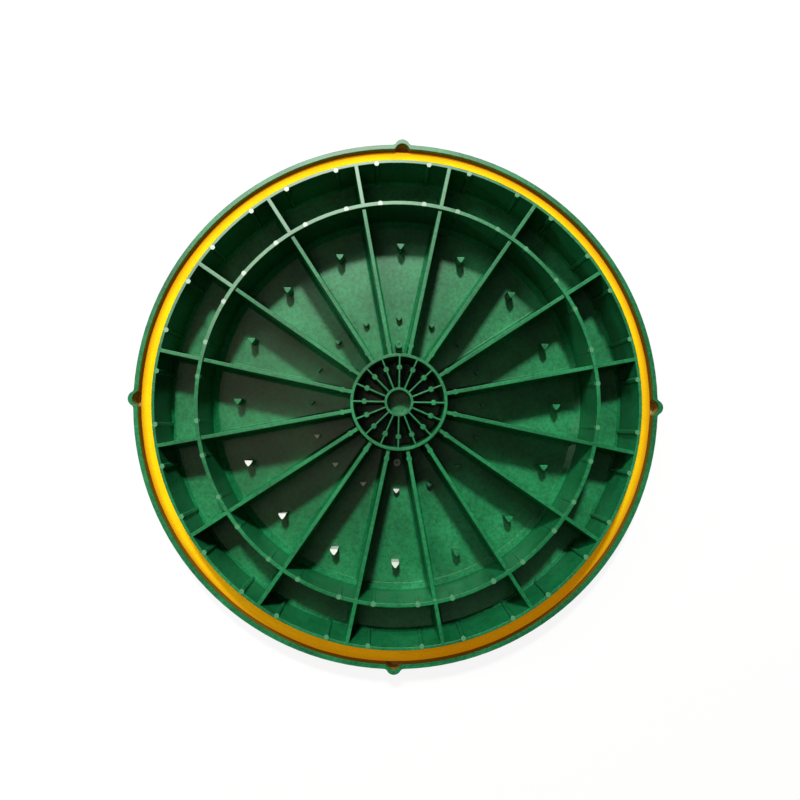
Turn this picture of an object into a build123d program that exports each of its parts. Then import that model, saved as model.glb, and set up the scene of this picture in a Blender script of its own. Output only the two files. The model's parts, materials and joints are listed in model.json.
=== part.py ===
from build123d import *
import math
import os

# A round riser cover for a buried tank, moulded in one piece, with a foam gasket in its channel.
# It lies on its top face with the ribbed underside up. Z points up, out of the underside.
# All sizes are in millimetres and all angles in degrees.

# Plate and levels
total_height = 80.0
plate_thickness = 6.0
plateau_rise = 7.0
flange_step = 9.0
draft_angle = 0.75

# Rim: a flange with an outer lip and four lugs
rim_radius = 330.0
flange_thickness = 6.0
lip_depth = 18.0
lip_thickness = 5.4
lug_count = 4
lug_radius = 9.5
lug_reach = 7.0
lug_blend = 5.0
notch_radius = 9.2
notch_blend = 3.0

# Circular walls of the underside
skirt_radius = 294.4
skirt_thickness = 3.4
mid_ring_radius = 244.1
mid_ring_thickness = 4.4
hub_radius = 58.5
hub_thickness = 3.6
cup_radius = 17.4
cup_thickness = 3.0
cup_depth = 27.0

# Radial walls of the underside
rib_count = 16
rib_thickness = 4.4
inner_rib_setback = 3.0
spoke_thickness = 1.9
corner_flare = 3.0
foot_chamfer = 3.5

# Ejector columns on the walls
column_sides = 6
column_angle = 6.3
ring_column_radius = 3.6
skirt_column_radius = 3.3
rib_column_radius = 3.6
rib_column_place = 69.5
spoke_column_place = 41.7

# Short pegs that stand on the plate, shaped like a blunt shield with its flat side towards +Y
post_place = 203.0
post_width = 9.8
post_depth = 7.0
post_height = 24.0
pin_place = 111.6
pin_width = 7.8
pin_depth = 5.0
pin_height = 10.0
shield_flat_place = 0.3
shield_turn_place = 0.1
shield_turn_width = 0.82
shield_tip_width = 0.16

# Round bosses above and below the hub
boss_place = 75.2
boss_radius = 4.6
boss_height = 24.0
boss_dimple_radius = 1.4
boss_dimple_depth = 1.5

# Gasket
gasket_width = 26.4
gasket_thickness = 12.5
gasket_chamfer = 3.0
gasket_clearance = 2.1

# Levels, measured up from the top face that the cover lies on
plateau_floor = plate_thickness
cell_floor = plateau_rise + plate_thickness
flange_face = plateau_rise + flange_step
channel_floor = flange_face + flange_thickness
lip_edge = channel_floor + lip_depth
inner_rib_edge = total_height - inner_rib_setback
cup_floor = total_height - cup_depth

# How much thicker a drafted wall is on each side at its foot
slope = math.tan(math.radians(draft_angle))
cell_draft = slope * (total_height - cell_floor)
plateau_draft = slope * (total_height - plateau_floor)

# Radii that follow from the walls
skirt_inner = skirt_radius - skirt_thickness
mid_ring_inner = mid_ring_radius - mid_ring_thickness
mid_ring_middle = mid_ring_radius - mid_ring_thickness / 2
hub_inner = hub_radius - hub_thickness
cup_inner = cup_radius - cup_thickness
lip_inner = rim_radius - lip_thickness
ledge_outer = mid_ring_inner - cell_draft
ledge_inner = ledge_outer - plateau_rise
plateau_radius = ledge_inner + plate_thickness * math.tan(math.radians(22.5))
shoulder_foot = skirt_inner + flange_step
flange_middle = flange_face + flange_thickness / 2
rib_pitch = 360 / rib_count
half_side = 180 / column_sides


def around(shape, count, start=0.0):
    """Copies of a shape at equal steps about the Z axis."""
    return [Rot(0, 0, start + 360 / count * i) * shape for i in range(count)]


def turned(*points):
    """A solid turned about Z from radius and height pairs."""
    return revolve(Plane.XZ * Polygon(*points, align=None), axis=Axis.Z)


def upright(plan, floor, top):
    """A plan raised to the top from just inside the plate, under the floor."""
    return extrude(Pos(0, 0, floor - 1) * plan, amount=top - floor + 1)


def between_walls(start, thickness, floor, top, foot):
    """The drafted space between two neighbouring radial walls, centred on +X and open at both ends."""
    half_pitch = math.radians(rib_pitch / 2)
    apex = thickness / 2 / math.sin(half_pitch)
    near = (start - apex) * math.tan(half_pitch)
    far = (rim_radius - apex) * math.tan(half_pitch)
    plan = Polygon((start, -near), (rim_radius, -far), (rim_radius, far), (start, near), align=None)
    space = extrude(Pos(0, 0, top) * plan, amount=top - floor, dir=(0, 0, -1), taper=draft_angle)
    if foot > 0:
        sides = space.edges().group_by(Axis.Z)[0].sort_by(Axis.X)[1:3]
        space = chamfer(sides, foot)
    return space


def corner_fillers(face, thickness, floor, top):
    """Two upright prisms that fill the corners where the radial walls meet an outer circular wall."""
    half_pitch = rib_pitch / 2
    reach = 2 * corner_flare
    across = thickness / 2
    plan = Polygon(
        (face - corner_flare, across),
        (face + reach, across + corner_flare + reach),
        (face + reach, across - reach),
        align=None,
    )
    return [
        Rot(0, 0, -half_pitch) * upright(plan, floor, top),
        Rot(0, 0, half_pitch) * upright(mirror(plan, Plane.XZ), floor, top),
    ]


def column_pair(place, radius, spin, angle, floor, top):
    """Two upright ejector columns at equal angles on either side of +X, drawn with flat sides."""
    plan = Pos(place, 0) * RegularPolygon(radius, column_sides, rotation=spin)
    column = upright(plan, floor, top)
    return [Rot(0, 0, -angle) * column, Rot(0, 0, angle) * column]


def peg(width, depth, height):
    """A short peg on the plateau floor, its plan given as shares of its width and depth."""
    half = width / 2
    flat = shield_flat_place * depth
    turn = -shield_turn_place * depth
    tip = flat - depth
    plan = Polygon(
        (half, flat),
        (-half, flat),
        (-half * shield_turn_width, turn),
        (-half * shield_tip_width, tip),
        (half * shield_tip_width, tip),
        (half * shield_turn_width, turn),
        align=None,
    )
    return upright(plan, plateau_floor, plateau_floor + height)


# Plate and the block that the cells are sunk into, turned about Z
cover = turned(
    (0, 0),
    (plateau_radius, 0),
    (plateau_radius + plateau_rise, plateau_rise),
    (skirt_inner, plateau_rise),
    (shoulder_foot, flange_face),
    (shoulder_foot, flange_middle),
    (skirt_radius, flange_middle),
    (skirt_radius, total_height),
    (0, total_height),
)

# Rim: flange, lip and lugs, with the channel sunk into it and a notch behind each lug
lug_place = rim_radius + lug_reach - lug_radius
notch_place = rim_radius + lug_reach - lip_thickness - notch_radius
rim_plan = Circle(rim_radius) + around(Pos(lug_place, 0) * Circle(lug_radius), lug_count)
rim_plan = fillet(rim_plan.vertices(), lug_blend)
channel_plan = Circle(lip_inner) + around(Pos(notch_place, 0) * Circle(notch_radius), lug_count)
channel_plan = fillet(channel_plan.vertices(), notch_blend)

rim = extrude(Pos(0, 0, flange_face) * rim_plan, amount=lip_edge - flange_face)
rim -= extrude(Pos(0, 0, channel_floor) * channel_plan, amount=lip_depth)
cover += rim

# Between hub and mid ring the rib edges stand a little lower
setback_ring = Circle(mid_ring_inner) - Circle(hub_radius)
cover -= extrude(Pos(0, 0, inner_rib_edge) * setback_ring, amount=inner_rib_setback)

# Cells between mid ring and skirt, each drawn as the space inside it and then sunk into the block
outer_ring = turned(
    (mid_ring_radius, total_height),
    (skirt_inner, total_height),
    (skirt_inner - cell_draft, cell_floor + foot_chamfer),
    (skirt_inner - cell_draft - foot_chamfer, cell_floor),
    (mid_ring_radius + cell_draft + foot_chamfer, cell_floor),
    (mid_ring_radius + cell_draft, cell_floor + foot_chamfer),
)
outer_span = (cell_floor, total_height)
outer_cell = outer_ring & between_walls(ledge_inner, rib_thickness, *outer_span, foot_chamfer)
outer_cell -= (
    corner_fillers(skirt_inner, rib_thickness, *outer_span)
    + column_pair(skirt_inner, skirt_column_radius, half_side, column_angle, *outer_span)
    + column_pair(mid_ring_middle, ring_column_radius, half_side, column_angle, *outer_span)
)
cells = around(outer_cell, rib_count)

# Cells between hub and mid ring, where the plate slopes down to the plateau
inner_ring = turned(
    (hub_radius, inner_rib_edge),
    (mid_ring_inner, inner_rib_edge),
    (ledge_outer, cell_floor),
    (ledge_inner, plateau_floor),
    (hub_radius + plateau_draft + foot_chamfer, plateau_floor),
    (hub_radius + plateau_draft, plateau_floor + foot_chamfer),
)
inner_span = (plateau_floor, inner_rib_edge)
inner_cell = inner_ring & between_walls(hub_inner, rib_thickness, *inner_span, foot_chamfer)
inner_cell -= (
    corner_fillers(mid_ring_inner, rib_thickness, *inner_span)
    + column_pair(mid_ring_middle, ring_column_radius, half_side, column_angle, *inner_span)
    + column_pair(rib_column_place, rib_column_radius, 0, rib_pitch / 2, *inner_span)
)

# A post and a pin stand in each inner cell, all with their flat sides the same way
post = peg(post_width, post_depth, post_height)
pin = peg(pin_width, pin_depth, pin_height)
for i in range(rib_count):
    turn = math.radians(rib_pitch * i)
    outward = Vector(math.cos(turn), math.sin(turn))
    cell = Rot(0, 0, rib_pitch * i) * inner_cell
    cells.append(cell - [Pos(outward * post_place) * post, Pos(outward * pin_place) * pin])

# Deep narrow cells between the hub's spokes, and the cup in its middle
hub_ring = turned(
    (cup_radius, total_height),
    (hub_inner, total_height),
    (hub_inner - plateau_draft, plateau_floor),
    (cup_radius + plateau_draft, plateau_floor),
)
hub_span = (plateau_floor, total_height)
hub_cell = hub_ring & between_walls(cup_inner, spoke_thickness, *hub_span, 0)
hub_cell -= column_pair(spoke_column_place, rib_column_radius, 0, rib_pitch / 2, *hub_span)
cells += around(hub_cell, rib_count, rib_pitch / 2)
cells.append(extrude(Pos(0, 0, cup_floor) * Circle(cup_inner), amount=cup_depth))
cover -= cells

# Round bosses with a dimple, one above and one below the hub
boss = upright(Circle(boss_radius), plateau_floor, plateau_floor + boss_height)
dimple = Pos(0, 0, plateau_floor + boss_height - boss_dimple_depth) * Circle(boss_dimple_radius)
boss -= extrude(dimple, amount=boss_dimple_depth)
cover += around(Pos(0, boss_place) * boss, 2)

# Gasket, a foam ring lying on the channel floor
gasket_inner = skirt_radius + gasket_clearance
gasket_plan = Circle(gasket_inner + gasket_width) - Circle(gasket_inner)
gasket = extrude(Pos(0, 0, channel_floor) * gasket_plan, amount=gasket_thickness)
gasket = chamfer(gasket.edges().group_by(Axis.Z)[-1].sort_by(SortBy.RADIUS)[-1], gasket_chamfer)

os.makedirs("parts", exist_ok=True)
export_step(cover, "parts/cover_moulding.step")
export_step(gasket, "parts/gasket.step")
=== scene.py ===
import json
import math

import bmesh
import bpy
from mathutils import Matrix, Vector, noise


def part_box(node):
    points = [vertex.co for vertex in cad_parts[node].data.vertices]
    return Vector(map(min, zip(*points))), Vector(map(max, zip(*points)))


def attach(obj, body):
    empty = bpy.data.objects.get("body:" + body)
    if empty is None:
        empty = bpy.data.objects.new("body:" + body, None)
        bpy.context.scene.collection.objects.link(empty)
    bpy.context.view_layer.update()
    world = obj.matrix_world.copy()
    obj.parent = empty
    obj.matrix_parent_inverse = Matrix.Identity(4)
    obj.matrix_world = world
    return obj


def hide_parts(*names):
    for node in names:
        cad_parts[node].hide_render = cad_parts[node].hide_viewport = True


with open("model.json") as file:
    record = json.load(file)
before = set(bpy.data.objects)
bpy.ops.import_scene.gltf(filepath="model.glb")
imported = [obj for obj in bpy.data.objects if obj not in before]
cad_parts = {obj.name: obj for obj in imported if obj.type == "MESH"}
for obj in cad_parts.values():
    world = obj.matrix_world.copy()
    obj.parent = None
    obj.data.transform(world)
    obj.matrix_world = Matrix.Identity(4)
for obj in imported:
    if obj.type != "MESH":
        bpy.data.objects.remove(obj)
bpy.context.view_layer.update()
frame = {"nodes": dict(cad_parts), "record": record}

# All lengths are in metres and all angles in degrees. An azimuth is measured about Z from +X.
COVER = "cover_moulding"
GASKET = "gasket"
PLUG_MOUNT = "riser_plug"

# Camera fitted to the photograph, with its focal length in pixels of the photograph's width
CAMERA_PLACE = (-0.0203, -0.0293, 0.8947)
CAMERA_TILT_X = -2.223
CAMERA_TILT_Y = 1.509
CAMERA_ROLL = -0.95
CAMERA_NEAR_LIMIT = 0.01
FOCAL_PIXELS = 680.0
IMAGE_PIXELS = 800.0
SENSOR_MILLIMETRES = 36.0

# World level for diffuse rays and for what the gloss reflects; the camera sees white
WORLD_DIFFUSE = 0.01
WORLD_GLOSSY = 0.16

# Floor, and the share of it that glows to the camera so that it looks white
FLOOR_SIZE = 12.0
FLOOR_COLOUR = (0.86, 0.86, 0.86)
FLOOR_GLOW = 0.90

# Levels and radii of the moulding
top_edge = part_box(COVER)[1].z
skirt_radius = next(
    mount["dims"]["r_mm"] / 1000 for mount in frame["record"]["mounts"] if mount["name"] == PLUG_MOUNT
)
POST_TOP = 0.030
PIN_TOP = 0.016
CELL_COUNT = 16

# A pair of numbers, here and below, is where a change of colour starts and where it is complete.
# What marks a level starts this far from it and is complete this near to it.
BAND_REACH = 0.0010
BAND_FADE = 0.0005

# Painted shade tinted by a painted reflection of the yellow foam: brown in the channel, paler in the
# notches behind the lugs.
# The outward limit is a face's lean away from the axis, times its radius.
GAP_SHADE_COLOUR = (0.130, 0.062, 0.003)
GAP_SHADE_INNER_EDGE = (skirt_radius + 0.001, skirt_radius + 0.002)
GAP_SHADE_OUTER_EDGE = (0.3335, 0.3325)
GAP_SHADE_TOP = (0.038, 0.033)
GAP_SHADE_BOTTOM = (0.018, 0.019)
GAP_SHADE_OUTWARD_LIMIT = (0.050, 0.040)
NOTCH_SHADE_COLOUR = (0.260, 0.180, 0.032)
NOTCH_SHADE_START = (0.3240, 0.3252)

# Painted highlight where the light glints: the highest edges paler around one azimuth; a sector is given
# by the cosines at its sides
EDGE_HIGHLIGHT_COLOUR = (0.480, 0.620, 0.480)
EDGE_HIGHLIGHT_SHARE = 0.24
SHEEN_AZIMUTH = 120
SHEEN_SECTOR = (0.60, 0.94)
EDGE_HIGHLIGHT_RADII = (0.150, 0.240)

# Round ends of the columns on the mid ring and the skirt, two in each cell; on the sheen side they get a
# painted highlight
NUB_COLOUR = (0.060, 0.220, 0.100)
NUB_HIGHLIGHT_COLOUR = (0.450, 0.540, 0.450)
NUB_RADIUS = 0.0031
NUB_FADE = 0.0004
COLUMN_RINGS = (0.2419, 0.2910)
COLUMN_ANGLE = 6.3

# Pegs whitened around one azimuth, at their ends and on their flat sides, with lines across these
PALE_COLOUR = (0.760, 0.800, 0.740)
PALE_AZIMUTH = 235
PALE_SECTOR = (0.66, 0.86)
PALE_RADII = (0.230, 0.220)
PEG_END_FACING = (0.5, 0.9)
PEG_FLAT_FACING = (0.9970, 0.9990)
PEG_FLAT_FOOT = (0.0075, 0.0095)
PEG_LINES_PER_METRE = 160.0
PEG_LINE_EDGE = (0.02, 0.30)

# Foam ring: corners, the fall of its top to the sides, its hollows and the wander of its edges
# Painted shade on the foam's outer shoulder
FOAM_SHOULDER_SHADE_COLOUR = (0.300, 0.120, 0.002)
FOAM_SHOULDER_SHADE_RADII = (0.3155, 0.3228)
FOAM_STEPS = 360
FOAM_TOP_STEPS = 8
FOAM_CORNER_STEPS = 6
FOAM_INNER_CORNER = 0.0018
FOAM_OUTER_CORNER = 0.0014
FOAM_SIDE_SHARE = 0.45
FOAM_SAG_START = 0.5
FOAM_WIDTH_SHARE = 0.995
FOAM_FALL = 0.0009
FOAM_HOLLOW = 0.0007
FOAM_HOLLOW_MIDDLE = 0.75
FOAM_WAVES = ((14.0, 0.50), (60.0, 0.25))
FOAM_WANDER = 0.0003
FOAM_WANDER_SCALE = 30.0
FOAM_WANDER_SHIFT = Vector((0, 0, 5))

# Sockets of the mix node when it mixes colours
MIX_FACTOR = 0
MIX_FIRST = 6
MIX_SECOND = 7
MIX_RESULT = 2


class Nodes:
    """Builds the node tree of a material or a world from an empty one."""

    def __init__(self, owner):
        owner.use_nodes = True
        self.tree = owner.node_tree
        self.tree.nodes.clear()

    def feed(self, socket, value):
        """Links a socket to another one, or gives it a number, a vector or a colour."""
        if isinstance(value, bpy.types.NodeSocket):
            self.tree.links.new(value, socket)
        elif socket.type == "RGBA":
            socket.default_value = (*value, 1.0)
        else:
            socket.default_value = value

    def add(self, kind, inputs=None, **settings):
        """Adds a node with its settings, and feeds its inputs by name or number."""
        node = self.tree.nodes.new(kind)
        for name, value in settings.items():
            setattr(node, name, value)
        for name, value in (inputs or {}).items():
            self.feed(node.inputs[name], value)
        return node

    def calc(self, operation, *values, clamp=False):
        """Result of a calculation with numbers."""
        inputs = dict(enumerate(values))
        return self.add("ShaderNodeMath", inputs, operation=operation, use_clamp=clamp).outputs["Value"]

    def vector(self, operation, *values):
        """Result of a calculation with vectors, which is a number for a length or a dot product."""
        node = self.add("ShaderNodeVectorMath", dict(enumerate(values)), operation=operation)
        return node.outputs["Value" if operation in ("LENGTH", "DOT_PRODUCT") else "Vector"]

    def noise(self, coords, scale, detail, roughness=0.55):
        """Share from cloudy noise."""
        inputs = {"Vector": coords, "Scale": scale, "Detail": detail, "Roughness": roughness}
        return self.add("ShaderNodeTexNoise", inputs).outputs["Fac"]

    def ramp(self, share, *stops):
        """Colour that goes with a share, from stops of place and colour, where a number is a grey."""
        node = self.add("ShaderNodeValToRGB", {"Fac": share})
        elements = node.color_ramp.elements
        while len(elements) < len(stops):
            elements.new(0.5)
        for element, (place, colour) in zip(elements, stops):
            element.position = place
            element.color = (*colour, 1.0) if isinstance(colour, tuple) else (colour, colour, colour, 1.0)
        return node.outputs["Color"]

    def mix(self, blend, amount, first, second):
        """Mix of two colours, each a socket or a colour."""
        inputs = {MIX_FACTOR: amount, MIX_FIRST: first, MIX_SECOND: second}
        return self.add("ShaderNodeMix", inputs, data_type="RGBA", blend_type=blend).outputs[MIX_RESULT]

    def spread(self, value, low, high):
        """Value from 0 to 1 spread between a low and a high number."""
        inputs = {"Value": value, "To Min": low, "To Max": high}
        return self.add("ShaderNodeMapRange", inputs).outputs["Result"]

    def band(self, value, edge, reach=1.0):
        """Share that runs from 0 at the start of an edge to its full reach at the end."""
        start, end = edge
        inputs = {"Value": value, "From Min": start, "From Max": end, "To Max": reach}
        return self.add("ShaderNodeMapRange", inputs).outputs["Result"]

    def over(self, height, level):
        """Share that is 1 at a level and over it."""
        return self.band(height, (level - BAND_REACH, level - BAND_FADE))

    def under(self, height, level):
        """Share that is 1 at a level and under it."""
        return self.band(height, (level + BAND_REACH, level + BAND_FADE))

    def at_level(self, height, level):
        """Share that is 1 at a level alone."""
        return self.product(self.over(height, level), self.under(height, level))

    def product(self, first, *others):
        """Product of several shares."""
        for other in others:
            first = self.calc("MULTIPLY", first, other)
        return first

    def total(self, first, second):
        """Sum of two shares, 1 at most."""
        return self.calc("ADD", first, second, clamp=True)


class Surface:
    """Sockets that tell where a point of the surface is and which way it faces."""

    def __init__(self, nodes):
        self.nodes = nodes
        self.place = nodes.add("ShaderNodeTexCoord").outputs["Object"]
        self.across = nodes.vector("MULTIPLY", self.place, (1, 1, 0))
        self.radius = nodes.vector("LENGTH", self.across)
        self.x, self.y, self.height = nodes.add("ShaderNodeSeparateXYZ", {"Vector": self.place}).outputs
        self.normal = nodes.add("ShaderNodeNewGeometry").outputs["True Normal"]

    def sector(self, azimuth):
        """Cosine of the angle between the point's own azimuth and a given one."""
        turn = math.radians(azimuth)
        toward = self.nodes.vector("DOT_PRODUCT", self.place, (math.cos(turn), math.sin(turn), 0))
        return self.nodes.calc("DIVIDE", toward, self.radius)


def with_gap_shade(nodes, at, colour):
    """Painted shade tinted by a painted reflection of the foam: brown in the channel, paler in the notches
    and nowhere on the lip's outer side.
    """
    gap_shade = nodes.product(
        nodes.band(at.radius, GAP_SHADE_INNER_EDGE),
        nodes.band(at.height, GAP_SHADE_TOP),
        nodes.band(at.radius, GAP_SHADE_OUTER_EDGE),
        nodes.band(at.height, GAP_SHADE_BOTTOM),
        nodes.band(nodes.vector("DOT_PRODUCT", at.normal, at.across), GAP_SHADE_OUTWARD_LIMIT),
    )
    gap_shade_colour = nodes.mix("MIX", nodes.band(at.radius, NOTCH_SHADE_START), GAP_SHADE_COLOUR, NOTCH_SHADE_COLOUR)
    return nodes.mix("MIX", gap_shade, colour, gap_shade_colour)


def with_edge_highlight(nodes, at, colour):
    """Painted highlight: the highest edges of the outer walls are paler on one side, where the light
    glints.
    """
    share = nodes.product(
        nodes.over(at.height, top_edge),
        nodes.band(at.sector(SHEEN_AZIMUTH), SHEEN_SECTOR, EDGE_HIGHLIGHT_SHARE),
        nodes.band(at.radius, EDGE_HIGHLIGHT_RADII),
    )
    return nodes.mix("MIX", share, colour, EDGE_HIGHLIGHT_COLOUR)


def with_nubs(nodes, at, colour):
    """The round ends of the ejector columns are paler than their edges, and a painted highlight makes them
    much paler on the sheen side.
    """
    sheen_side = nodes.band(at.sector(SHEEN_AZIMUTH), SHEEN_SECTOR)
    nub_colour = nodes.mix("MIX", sheen_side, NUB_COLOUR, NUB_HIGHLIGHT_COLOUR)
    top = nodes.over(at.height, top_edge)

    # Distance from the cell's middle line, as a share of the cell's angle, and then from a column
    heading = nodes.calc("ARCTAN2", at.y, at.x)
    cell = nodes.calc("MULTIPLY_ADD", heading, CELL_COUNT / math.tau, CELL_COUNT + 0.5)
    from_middle = nodes.calc("ABSOLUTE", nodes.calc("SUBTRACT", nodes.calc("FRACT", cell), 0.5))
    from_column = nodes.calc("SUBTRACT", from_middle, COLUMN_ANGLE * CELL_COUNT / 360)
    for ring in COLUMN_RINGS:
        sideways = nodes.calc("MULTIPLY", from_column, ring * math.tau / CELL_COUNT)
        outward = nodes.calc("SUBTRACT", at.radius, ring)
        offset = nodes.add("ShaderNodeCombineXYZ", {"X": sideways, "Y": outward}).outputs["Vector"]
        disc = nodes.band(nodes.vector("LENGTH", offset), (NUB_RADIUS, NUB_RADIUS - NUB_FADE))
        colour = nodes.mix("MIX", nodes.product(disc, top), colour, nub_colour)
    return colour


def with_pale_pegs(nodes, at, colour):
    """Some pegs are whitened at the end and on the flat side, which has a few fine lines across it."""
    facing = nodes.add("ShaderNodeSeparateXYZ", {"Vector": at.normal}).outputs
    levels = nodes.total(nodes.at_level(at.height, POST_TOP), nodes.at_level(at.height, PIN_TOP))
    ends = nodes.product(levels, nodes.band(facing["Z"], PEG_END_FACING))
    line = nodes.calc("FRACT", nodes.calc("MULTIPLY", at.height, PEG_LINES_PER_METRE))
    flats = nodes.product(
        nodes.band(facing["Y"], PEG_FLAT_FACING),
        nodes.under(at.height, POST_TOP),
        nodes.band(at.height, PEG_FLAT_FOOT),
        nodes.band(line, PEG_LINE_EDGE),
    )
    sector = nodes.band(at.sector(PALE_AZIMUTH), PALE_SECTOR)
    pale = nodes.product(nodes.total(ends, flats), sector, nodes.band(at.radius, PALE_RADII))
    return nodes.mix("MIX", pale, colour, PALE_COLOUR)


def cover_material():
    """Green moulded plastic: cloudy, finely mottled, with a satin sheen and softened edges."""
    material = bpy.data.materials.new("green_plastic")
    nodes = Nodes(material)
    at = Surface(nodes)
    clouds = nodes.noise(at.place, scale=16.0, detail=3.0)
    mottle = nodes.noise(at.place, scale=260.0, detail=5.0, roughness=0.65)
    grain = nodes.noise(at.place, scale=900.0, detail=2.0)

    base = nodes.ramp(
        clouds,
        (0.30, (0.003, 0.098, 0.030)),
        (0.52, (0.006, 0.145, 0.046)),
        (0.74, (0.013, 0.190, 0.066)),
    )
    specks = nodes.ramp(mottle, (0.32, 0.62), (0.50, 1.00), (0.72, 1.35))
    colour = nodes.mix("MULTIPLY", 1.0, base, specks)
    # Painted shade with a painted reflection of the foam in the channel
    colour = with_gap_shade(nodes, at, colour)
    # Painted highlight on the highest edges
    colour = with_edge_highlight(nodes, at, colour)
    # Nub ends, with a painted highlight on the sheen side
    colour = with_nubs(nodes, at, colour)
    colour = with_pale_pegs(nodes, at, colour)

    soft_edges = nodes.add("ShaderNodeBevel", {"Radius": 0.0009}, samples=6)
    bump = nodes.add("ShaderNodeBump", {
        "Strength": 0.10,
        "Distance": 0.0006,
        "Height": grain,
        "Normal": soft_edges.outputs["Normal"],
    })
    shader = nodes.add("ShaderNodeBsdfPrincipled", {
        "Base Color": colour,
        "Roughness": nodes.spread(mottle, 0.30, 0.44),
        "IOR": 1.5,
        "Specular IOR Level": 0.36,
        "Normal": bump.outputs["Normal"],
    })
    nodes.add("ShaderNodeOutputMaterial", {"Surface": shader.outputs["BSDF"]})
    return material


def foam_material():
    """Yellow closed-cell foam: fine cells, their pits a little darker as painted shade, with a slight glow
    that is painted light.
    """
    material = bpy.data.materials.new("yellow_foam")
    nodes = Nodes(material)
    at = Surface(nodes)
    clouds = nodes.noise(at.place, scale=22.0, detail=4.0)
    cells = nodes.add("ShaderNodeTexVoronoi", {"Vector": at.place, "Scale": 620.0}).outputs["Distance"]

    base = nodes.ramp(
        clouds,
        (0.30, (0.530, 0.350, 0.002)),
        (0.52, (0.600, 0.430, 0.002)),
        (0.74, (0.640, 0.490, 0.003)),
    )
    # Painted shade: the pits of the cells a little darker
    pit_shade = nodes.ramp(cells, (0.00, 0.80), (0.35, 1.00), (0.80, 1.06))
    colour = nodes.mix("MULTIPLY", 1.0, base, pit_shade)

    # Painted shade: darker and more orange where the ring rounds down to its outer edge
    colour = nodes.mix("MIX", nodes.band(at.radius, FOAM_SHOULDER_SHADE_RADII), colour, FOAM_SHOULDER_SHADE_COLOUR)

    bump = nodes.add("ShaderNodeBump", {"Strength": 0.35, "Distance": 0.0008, "Height": cells})
    shader = nodes.add("ShaderNodeBsdfPrincipled", {
        "Base Color": colour,
        "Roughness": 0.85,
        "Specular IOR Level": 0.06,
        # Painted light: a slight orange glow that lifts the foam where it lies in shade
        "Emission Color": (1.0, 0.38, 0.004),
        "Emission Strength": 0.33,
        "Normal": bump.outputs["Normal"],
    })
    nodes.add("ShaderNodeOutputMaterial", {"Surface": shader.outputs["BSDF"]})
    return material


def floor_material():
    """White floor that keeps the object's shadow and shows as white to the camera."""
    material = bpy.data.materials.new("pale_floor")
    nodes = Nodes(material)
    to_camera = nodes.add("ShaderNodeLightPath").outputs["Is Camera Ray"]
    diffuse = nodes.add("ShaderNodeBsdfDiffuse", {"Color": FLOOR_COLOUR})
    glow = nodes.add("ShaderNodeEmission")
    mix = nodes.add("ShaderNodeMixShader", {
        0: nodes.calc("MULTIPLY", to_camera, FLOOR_GLOW),
        1: diffuse.outputs["BSDF"],
        2: glow.outputs["Emission"],
    })
    nodes.add("ShaderNodeOutputMaterial", {"Surface": mix.outputs["Shader"]})
    return material


def quarter_turn(x, y, radius, start):
    """Points of a clockwise quarter turn about a centre."""
    angles = [start - math.pi / 2 * i / FOAM_CORNER_STEPS for i in range(FOAM_CORNER_STEPS + 1)]
    return [(x + radius * math.cos(angle), y + radius * math.sin(angle)) for angle in angles]


def foam_section(half, height):
    """Outline of the foam band, from its inner foot over the top to its outer foot."""
    left = -half + FOAM_INNER_CORNER
    right = half - FOAM_OUTER_CORNER
    side = height * FOAM_SIDE_SHARE
    top = [(left + (right - left) * i / FOAM_TOP_STEPS, height) for i in range(1, FOAM_TOP_STEPS)]
    return [
        (-half, 0.0),
        (-half, side),
        *quarter_turn(left, height - FOAM_INNER_CORNER, FOAM_INNER_CORNER, math.pi),
        *top,
        *quarter_turn(right, height - FOAM_OUTER_CORNER, FOAM_OUTER_CORNER, math.pi / 2),
        (half, side),
        (half, 0.0),
    ]


def gasket_piece():
    """The foam ring: a slightly crowned band with soft shoulders, a little uneven as cut foam is."""
    low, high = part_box(GASKET)
    outer = high.x
    inner = min(vertex.co.xy.length for vertex in frame["nodes"][GASKET].data.vertices)
    height = high.z - low.z
    middle = (inner + outer) / 2
    half = (outer - inner) / 2
    section = foam_section(half, height)

    work = bmesh.new()
    rings = []
    for step in range(FOAM_STEPS):
        angle = math.tau * step / FOAM_STEPS
        direction = Vector((math.cos(angle), math.sin(angle), 0))
        ring = []
        for across, up in section:
            place = direction * (middle + across)
            sag = 0.0
            if up > height * FOAM_SAG_START:
                wave = sum(share * noise.noise(place * scale) for scale, share in FOAM_WAVES)
                sag = FOAM_FALL * (across / half) ** 2 + FOAM_HOLLOW * (FOAM_HOLLOW_MIDDLE + wave)
            wander = noise.noise(place * FOAM_WANDER_SCALE + FOAM_WANDER_SHIFT) * FOAM_WANDER
            point = direction * (middle + across * FOAM_WIDTH_SHARE + wander)
            ring.append(work.verts.new((point.x, point.y, low.z + max(up - sag, 0.0))))
        rings.append(ring)

    count = len(section)
    for ring, following in zip(rings, rings[1:] + rings[:1]):
        for i in range(count):
            j = (i + 1) % count
            work.faces.new((ring[i], following[i], following[j], ring[j]))
    bmesh.ops.recalc_face_normals(work, faces=work.faces)

    mesh = bpy.data.meshes.new("gasket_foam")
    work.to_mesh(mesh)
    work.free()
    for face in mesh.polygons:
        face.use_smooth = True
    piece = bpy.data.objects.new("gasket_foam", mesh)
    bpy.context.scene.collection.objects.link(piece)
    return piece


def studio_world():
    """White to the camera, dim to the gloss and nearly dark to all else."""
    world = bpy.data.worlds.new("studio")
    nodes = Nodes(world)
    ray = nodes.add("ShaderNodeLightPath").outputs
    reflected = nodes.spread(ray["Is Glossy Ray"], WORLD_DIFFUSE, WORLD_GLOSSY)
    strength = nodes.calc("MAXIMUM", reflected, ray["Is Camera Ray"])
    sky = nodes.add("ShaderNodeBackground", {"Color": (1, 1, 1), "Strength": strength})
    nodes.add("ShaderNodeOutputWorld", {"Surface": sky.outputs["Background"]})
    return world


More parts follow.
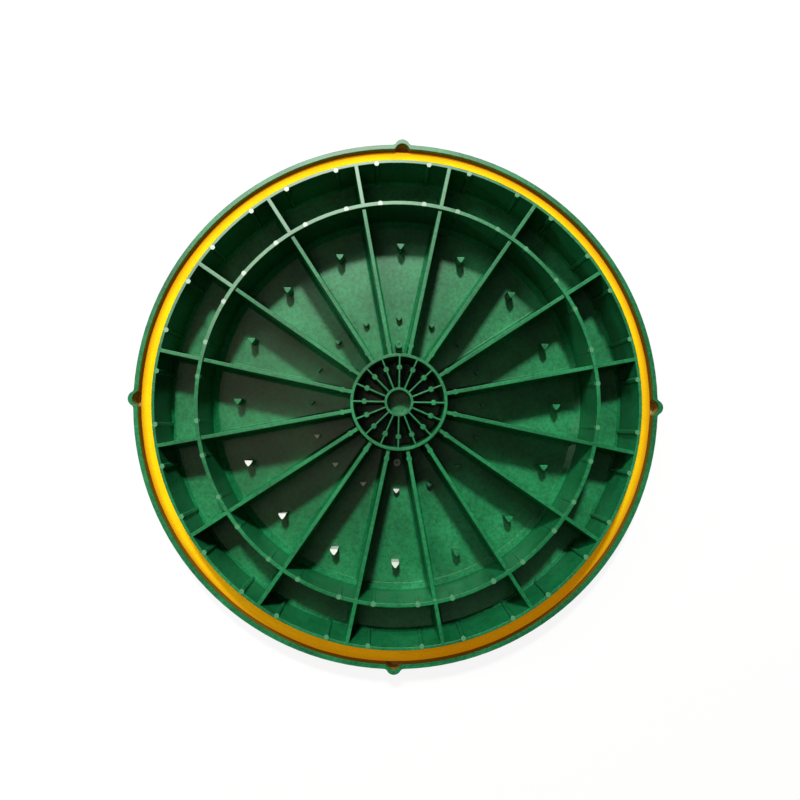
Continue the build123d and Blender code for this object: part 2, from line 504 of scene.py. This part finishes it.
def area_light(name, azimuth, elevation, distance, size, power, colour):
    """A round soft light aimed at the object's origin."""
    turn = math.radians(azimuth)
    lift = math.radians(elevation)
    toward = Vector((math.cos(lift) * math.cos(turn), math.cos(lift) * math.sin(turn), math.sin(lift)))
    lamp = bpy.data.lights.new(name, "AREA")
    lamp.shape = "DISK"
    lamp.size = size
    lamp.energy = power
    lamp.color = colour
    holder = bpy.data.objects.new(name, lamp)
    holder.location = distance * toward
    holder.rotation_euler = (-toward).to_track_quat("-Z", "Y").to_euler()
    bpy.context.scene.collection.objects.link(holder)


def photo_camera():
    """The camera that took the photograph, as fitted."""
    lens = bpy.data.cameras.new("camera")
    lens.sensor_width = SENSOR_MILLIMETRES
    lens.lens = FOCAL_PIXELS / IMAGE_PIXELS * SENSOR_MILLIMETRES
    lens.clip_start = CAMERA_NEAR_LIMIT
    camera = bpy.data.objects.new("camera", lens)
    turn = (
        Matrix.Rotation(math.radians(CAMERA_ROLL), 4, "Z")
        @ Matrix.Rotation(math.radians(CAMERA_TILT_X), 4, "X")
        @ Matrix.Rotation(math.radians(CAMERA_TILT_Y), 4, "Y")
    )
    camera.matrix_world = Matrix.Translation(CAMERA_PLACE) @ turn.inverted()
    bpy.context.scene.collection.objects.link(camera)
    return camera


# Object
cover = frame["nodes"][COVER]
cover.data.materials.clear()
cover.data.materials.append(cover_material())

gasket = gasket_piece()
gasket.data.materials.append(foam_material())
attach(gasket, "root")
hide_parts(GASKET)

# Floor
bpy.ops.mesh.primitive_plane_add(size=FLOOR_SIZE, location=(0, 0, 0))
floor = bpy.context.object
floor.name = "floor"
floor.data.materials.append(floor_material())

# Light: the key comes from the photograph's upper side, and the floors on the left reflect a warm panel
bpy.context.scene.world = studio_world()
area_light(
    "key", azimuth=97, elevation=56, distance=5.0, size=0.45, power=310.0, colour=(1.0, 0.99, 0.97)
)
area_light(
    "second", azimuth=125, elevation=52, distance=2.0, size=0.60, power=12.0, colour=(1.0, 1.0, 0.98)
)
area_light(
    "left_fill", azimuth=172, elevation=32, distance=2.0, size=0.30, power=7.0, colour=(1.0, 0.98, 0.92)
)
area_light(
    "warm_panel", azimuth=172, elevation=77, distance=1.5, size=0.45, power=1.8, colour=(1.0, 0.70, 0.62)
)

# Camera
bpy.context.scene.camera = photo_camera()
bpy.context.scene.view_settings.view_transform = "Standard"
